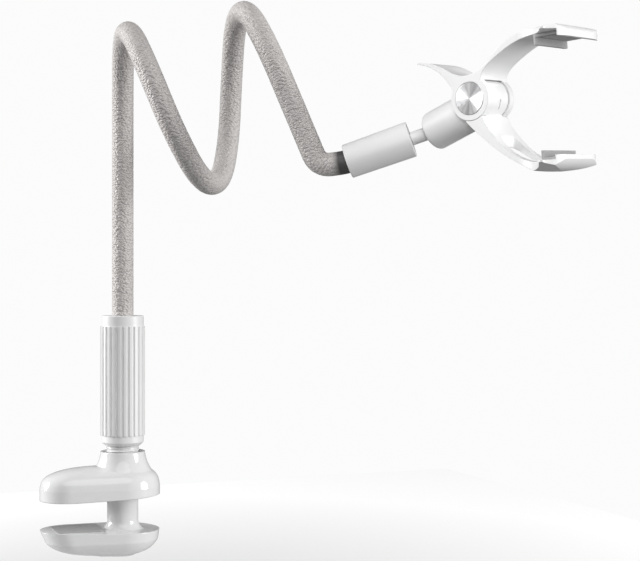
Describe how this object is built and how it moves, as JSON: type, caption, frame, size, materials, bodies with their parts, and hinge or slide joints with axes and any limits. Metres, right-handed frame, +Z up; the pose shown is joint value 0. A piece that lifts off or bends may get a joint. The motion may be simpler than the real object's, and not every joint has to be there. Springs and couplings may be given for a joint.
{
  "type": "phone gooseneck holder",
  "caption": "Clamp-on phone holder: screw clamp for a table edge, ribbed sleeve, coiled flexible arm, ball joint and sprung clip that grips a phone by its long edges.",
  "frame": {"origin": "centre of the upper clamp pad's underside, the face that lies on the table top", "axes": "+Z up, the clamp's mouth faces -X and its column stands at +X, +Y completes the right-handed frame"},
  "size_m": [0.2954, 0.3093, 0.3844],
  "materials": {
    "gloss_white": "glossy",
    "satin_white": "satin",
    "stud_white": "smooth",
    "nylon": "smooth",
    "arm_skin": "pebbled",
    "grey_rubber": "matte",
    "aluminium": "plain",
    "spun_aluminium": "spun",
    "steel": "plain"
  },
  "bodies": {
    "clamp": {"upper_clamp_jaw": "gloss_white", "upper_clamp_pad": "grey_rubber"},
    "column": {"lower_clamp_jaw": "gloss_white", "lower_clamp_pad": "grey_rubber", "arm_pin": "steel", "arm_core": "aluminium", "arm_skin": "arm_skin", "end_collar": "satin_white"},
    "sleeve": {"grip_sleeve": "satin_white"},
    "ball_stud": {"ball_stud": "stud_white"},
    "ball_seat": {"ball_seat": "nylon"},
    "head": {"socket_tube": "satin_white", "fixed_jaw": "satin_white", "fixed_jaw_pad": "grey_rubber", "torsion_spring": "steel"},
    "moving_jaw": {"moving_jaw": "satin_white", "moving_jaw_pad": "grey_rubber", "pivot_pin": "steel", "near_disc": "spun_aluminium", "far_disc": "spun_aluminium"}
  },
  "joints": [
    {"name": "sleeve_turn", "type": "hinge", "parent": "clamp", "child": "sleeve", "pos_m": [0.033, 0, 0.0375], "axis": [0, 0, 1], "range_deg": [-2600, 5770]},
    {"name": "column_slide", "type": "slide", "parent": "clamp", "child": "column", "axis": [0, 0, 1], "range_m": [-0.04, 0.018]},
    {"name": "stud_turn", "type": "hinge", "parent": "column", "child": "ball_stud", "pos_m": [0.19283, -0.17911, 0.25067], "axis": [0.8203, -0.4736, 0.3206], "continuous": true},
    {"name": "head_tilt", "type": "hinge", "parent": "ball_stud", "child": "ball_seat", "pos_m": [0.19283, -0.17911, 0.25067], "axis": [0.1907, -0.302, -0.934], "range_deg": [-66.7, 5.3]},
    {"name": "head_turn", "type": "hinge", "parent": "ball_seat", "child": "head", "pos_m": [0.19283, -0.17911, 0.25067], "axis": [0.4307, -0.8293, 0.3561], "continuous": true},
    {"name": "clip_pivot", "type": "hinge", "parent": "head", "child": "moving_jaw", "pos_m": [0.20896, -0.21063, 0.26735], "axis": [-0.8736, -0.4821, -0.0662], "range_deg": [-27, 15], "stiffness_Nm_per_rad": 0.6}
  ],
  "couplings": [
    {"joint": "sleeve_turn", "follows": "column_slide", "rad_per_m": -2513.3}
  ]
}
